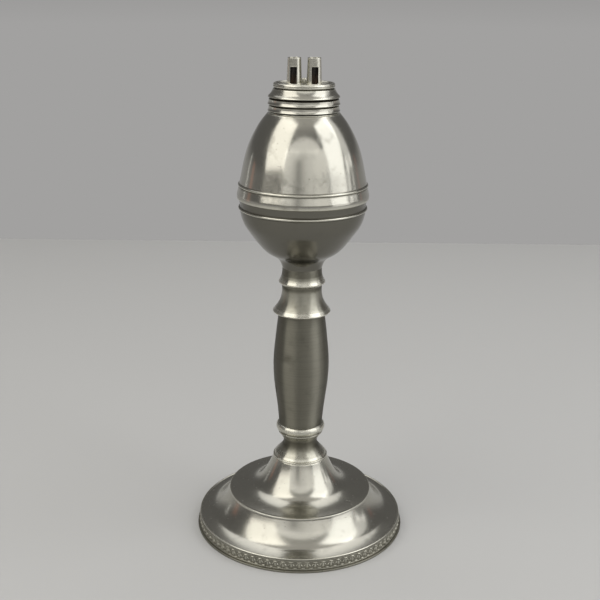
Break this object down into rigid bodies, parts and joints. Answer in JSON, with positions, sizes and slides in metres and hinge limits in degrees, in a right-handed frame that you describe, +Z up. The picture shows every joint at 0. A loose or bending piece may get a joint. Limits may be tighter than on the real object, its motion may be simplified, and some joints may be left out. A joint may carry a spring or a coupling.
{
  "type": "whale oil lamp",
  "caption": "Turned pewter table lamp with an acorn oil font on a baluster stem and stepped round foot, and a screw burner with two slotted wick tubes.",
  "frame": {"origin": "centre of the foot's underside, on the table", "axes": "+Z up along the stem; -Y is the front, where the slots of the wick tubes face; +X to the right seen from the front"},
  "size_m": [0.096, 0.096, 0.2143],
  "materials": {
    "polished_pewter": "polished",
    "satin_pewter": "satin",
    "border_pewter": "satin",
    "washer_leather": "matte",
    "wick_cotton": "matte"
  },
  "bodies": {
    "lamp": {"foot": "polished_pewter", "foot_border": "border_pewter", "stem_ring": "polished_pewter", "stem_vase": "satin_pewter", "stem_neck": "polished_pewter", "font_lower": "polished_pewter", "font_upper": "polished_pewter", "font_collar": "polished_pewter"},
    "washer": {"burner_washer": "washer_leather"},
    "burner": {"burner_plug": "polished_pewter", "burner_skirt": "polished_pewter", "burner_disc": "polished_pewter", "wick_tube_left": "polished_pewter", "wick_tube_right": "polished_pewter", "vent_nipple": "polished_pewter"},
    "left_wick": {"wick_left": "wick_cotton"},
    "right_wick": {"wick_right": "wick_cotton"}
  },
  "joints": [
    {"name": "burner_rise", "type": "slide", "parent": "lamp", "child": "washer", "axis": [0, 0, 1], "range_m": [0, 0.0081]},
    {"name": "burner_turn", "type": "hinge", "parent": "washer", "child": "burner", "pos_m": [0, 0, 0.1984], "axis": [0, 0, 1], "range_deg": [0, 1440]},
    {"name": "wick_left_raise", "type": "slide", "parent": "burner", "child": "left_wick", "axis": [0, 0, 1], "range_m": [-0.004, 0.006]},
    {"name": "wick_right_raise", "type": "slide", "parent": "burner", "child": "right_wick", "axis": [0, 0, 1], "range_m": [-0.004, 0.006]}
  ],
  "couplings": [
    {"joint": "burner_rise", "follows": "burner_turn", "m_per_rad": 0.00031831}
  ]
}
